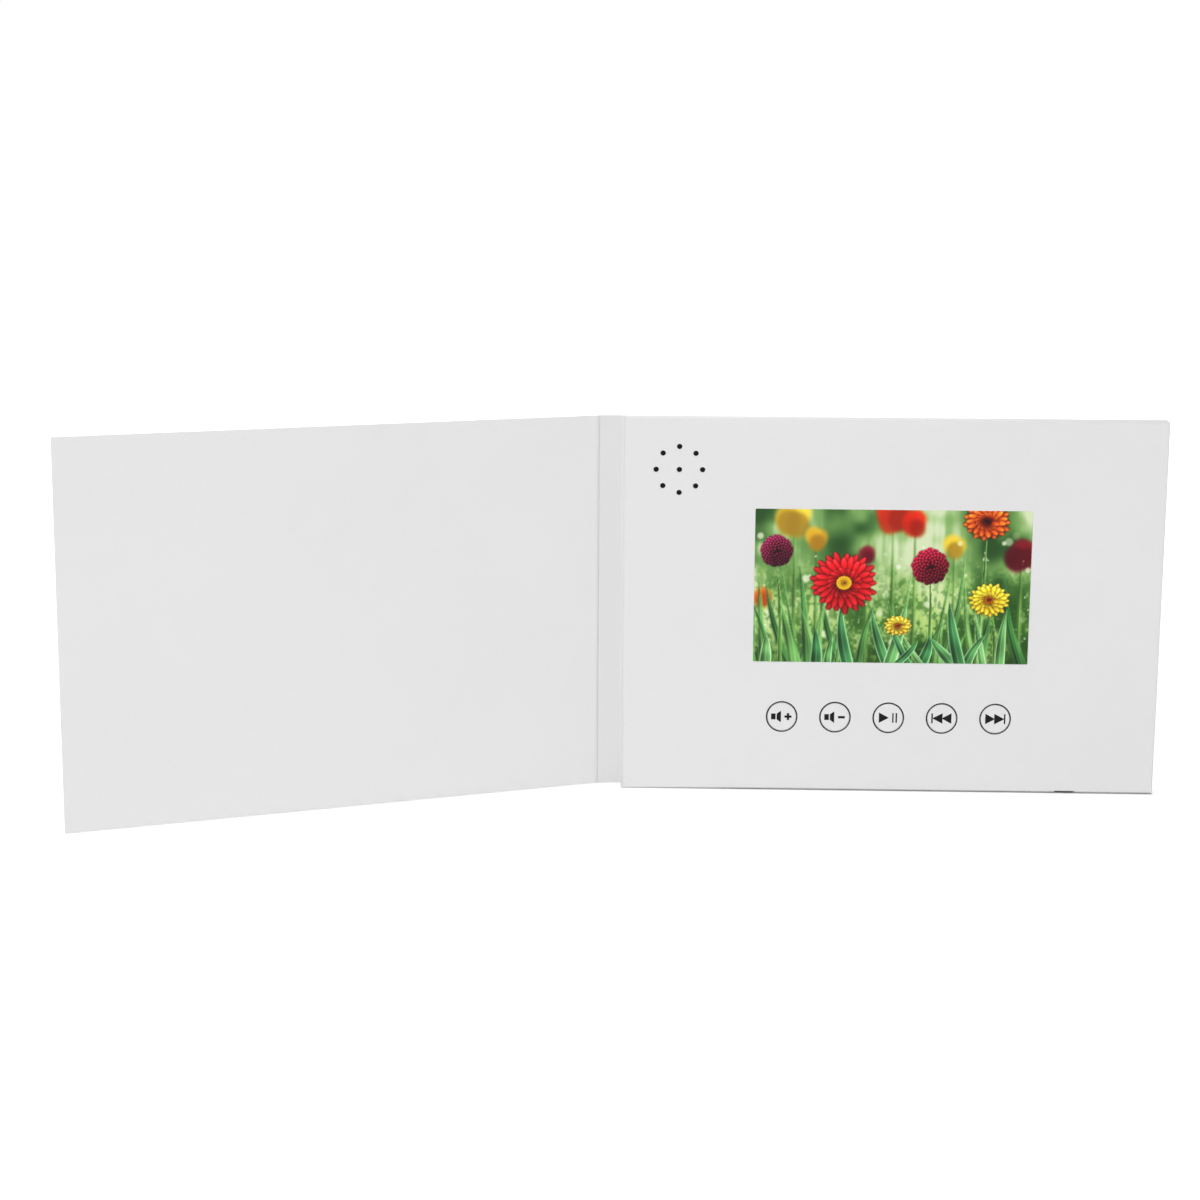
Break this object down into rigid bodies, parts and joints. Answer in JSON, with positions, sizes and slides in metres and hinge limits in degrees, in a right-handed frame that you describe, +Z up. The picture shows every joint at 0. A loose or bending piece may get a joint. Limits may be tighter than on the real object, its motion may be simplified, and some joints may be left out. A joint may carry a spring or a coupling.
{
  "type": "lcd video brochure",
  "caption": "Landscape card folder standing open, with a thin electronics block on the inside of its back cover: screen, row of round keys, sound holes and a charging socket.",
  "frame": {"origin": "middle of the face that the block stands on, halfway along its width and depth", "axes": "+X along the block's width, away from the spine; +Y from the front panel to the back cover; +Z up, along the spine"},
  "size_m": [0.4152, 0.0824, 0.148],
  "materials": {
    "white_paper": "satin",
    "grey_board": "matte",
    "foam_board": "matte",
    "black_tape": "matte",
    "screen_film": "gloss",
    "screen_glass": "polished",
    "light_guide": "satin",
    "steel": "satin",
    "amber_film": "satin",
    "circuit_green": "satin",
    "chip_black": "matte",
    "chip_ceramic": "matte",
    "ivory_plastic": "satin",
    "reed_glass": "polished",
    "yellow_tape": "matte",
    "battery_foil": "satin",
    "red_black_lead": "satin",
    "black_lead": "satin",
    "black_cloth": "matte",
    "speaker_plastic": "matte",
    "cone_film": "satin",
    "coil_wire": "satin",
    "stem_plastic": "satin"
  },
  "bodies": {
    "block": {"front_panel": "white_paper", "side_band": "white_paper", "core_frame": "foam_board", "back_board": "grey_board", "back_sheet": "white_paper", "block_crease": "white_paper", "lcd_tape": "black_tape", "lcd_polariser": "screen_film", "lcd_glass": "screen_glass", "lcd_light_guide": "light_guide", "lcd_frame": "steel", "lcd_ribbon": "amber_film", "main_board": "circuit_green", "processor_chip": "chip_black", "memory_chip": "chip_black", "amplifier_chip": "chip_black", "charger_chip": "chip_black", "crystal_can": "steel", "board_capacitors": "chip_ceramic", "ribbon_socket": "ivory_plastic", "usb_shell": "steel", "usb_tongue": "chip_black", "reed_switch": "reed_glass", "board_tape": "yellow_tape", "battery_cell": "battery_foil", "battery_guard_board": "circuit_green", "battery_tape": "yellow_tape", "battery_leads": "red_black_lead", "speaker_scrim": "black_cloth", "speaker_frame": "speaker_plastic", "speaker_cone": "cone_film", "speaker_coil": "coil_wire", "speaker_magnet": "steel", "speaker_leads": "black_lead", "key_board": "circuit_green", "key_switches": "chip_black", "key_ribbon": "amber_film"},
    "spine": {"spine_sheet": "white_paper", "spine_liner": "white_paper", "cover_crease": "white_paper"},
    "front_cover": {"cover_sheet": "white_paper", "cover_card": "grey_board", "cover_liner": "white_paper", "cover_magnet": "steel"},
    "volume_up_button": {"volume_up_key": "white_paper", "volume_up_stem": "stem_plastic"},
    "volume_down_button": {"volume_down_key": "white_paper", "volume_down_stem": "stem_plastic"},
    "play_pause_button": {"play_pause_key": "white_paper", "play_pause_stem": "stem_plastic"},
    "previous_button": {"previous_key": "white_paper", "previous_stem": "stem_plastic"},
    "next_button": {"next_key": "white_paper", "next_stem": "stem_plastic"}
  },
  "joints": [
    {"name": "spine_fold", "type": "hinge", "parent": "block", "child": "spine", "pos_m": [-0.1058, 0.0042, 0], "axis": [0, 0, 1], "range_deg": [-7, 83], "deforming": ["block_crease"]},
    {"name": "cover_fold", "type": "hinge", "parent": "spine", "child": "front_cover", "pos_m": [-0.11533, 0.00303, 0], "axis": [0, 0, 1], "range_deg": [-15.4, 74.6], "deforming": ["cover_crease"]},
    {"name": "volume_up_press", "type": "slide", "parent": "block", "child": "volume_up_button", "axis": [0, 1, 0], "range_m": [0, 0.0003], "stiffness_N_per_m": 2500, "springref_m": -0.0002},
    {"name": "volume_down_press", "type": "slide", "parent": "block", "child": "volume_down_button", "axis": [0, 1, 0], "range_m": [0, 0.0003], "stiffness_N_per_m": 2500, "springref_m": -0.0002},
    {"name": "play_pause_press", "type": "slide", "parent": "block", "child": "play_pause_button", "axis": [0, 1, 0], "range_m": [0, 0.0003], "stiffness_N_per_m": 2500, "springref_m": -0.0002},
    {"name": "previous_press", "type": "slide", "parent": "block", "child": "previous_button", "axis": [0, 1, 0], "range_m": [0, 0.0003], "stiffness_N_per_m": 2500, "springref_m": -0.0002},
    {"name": "next_press", "type": "slide", "parent": "block", "child": "next_button", "axis": [0, 1, 0], "range_m": [0, 0.0003], "stiffness_N_per_m": 2500, "springref_m": -0.0002}
  ]
}
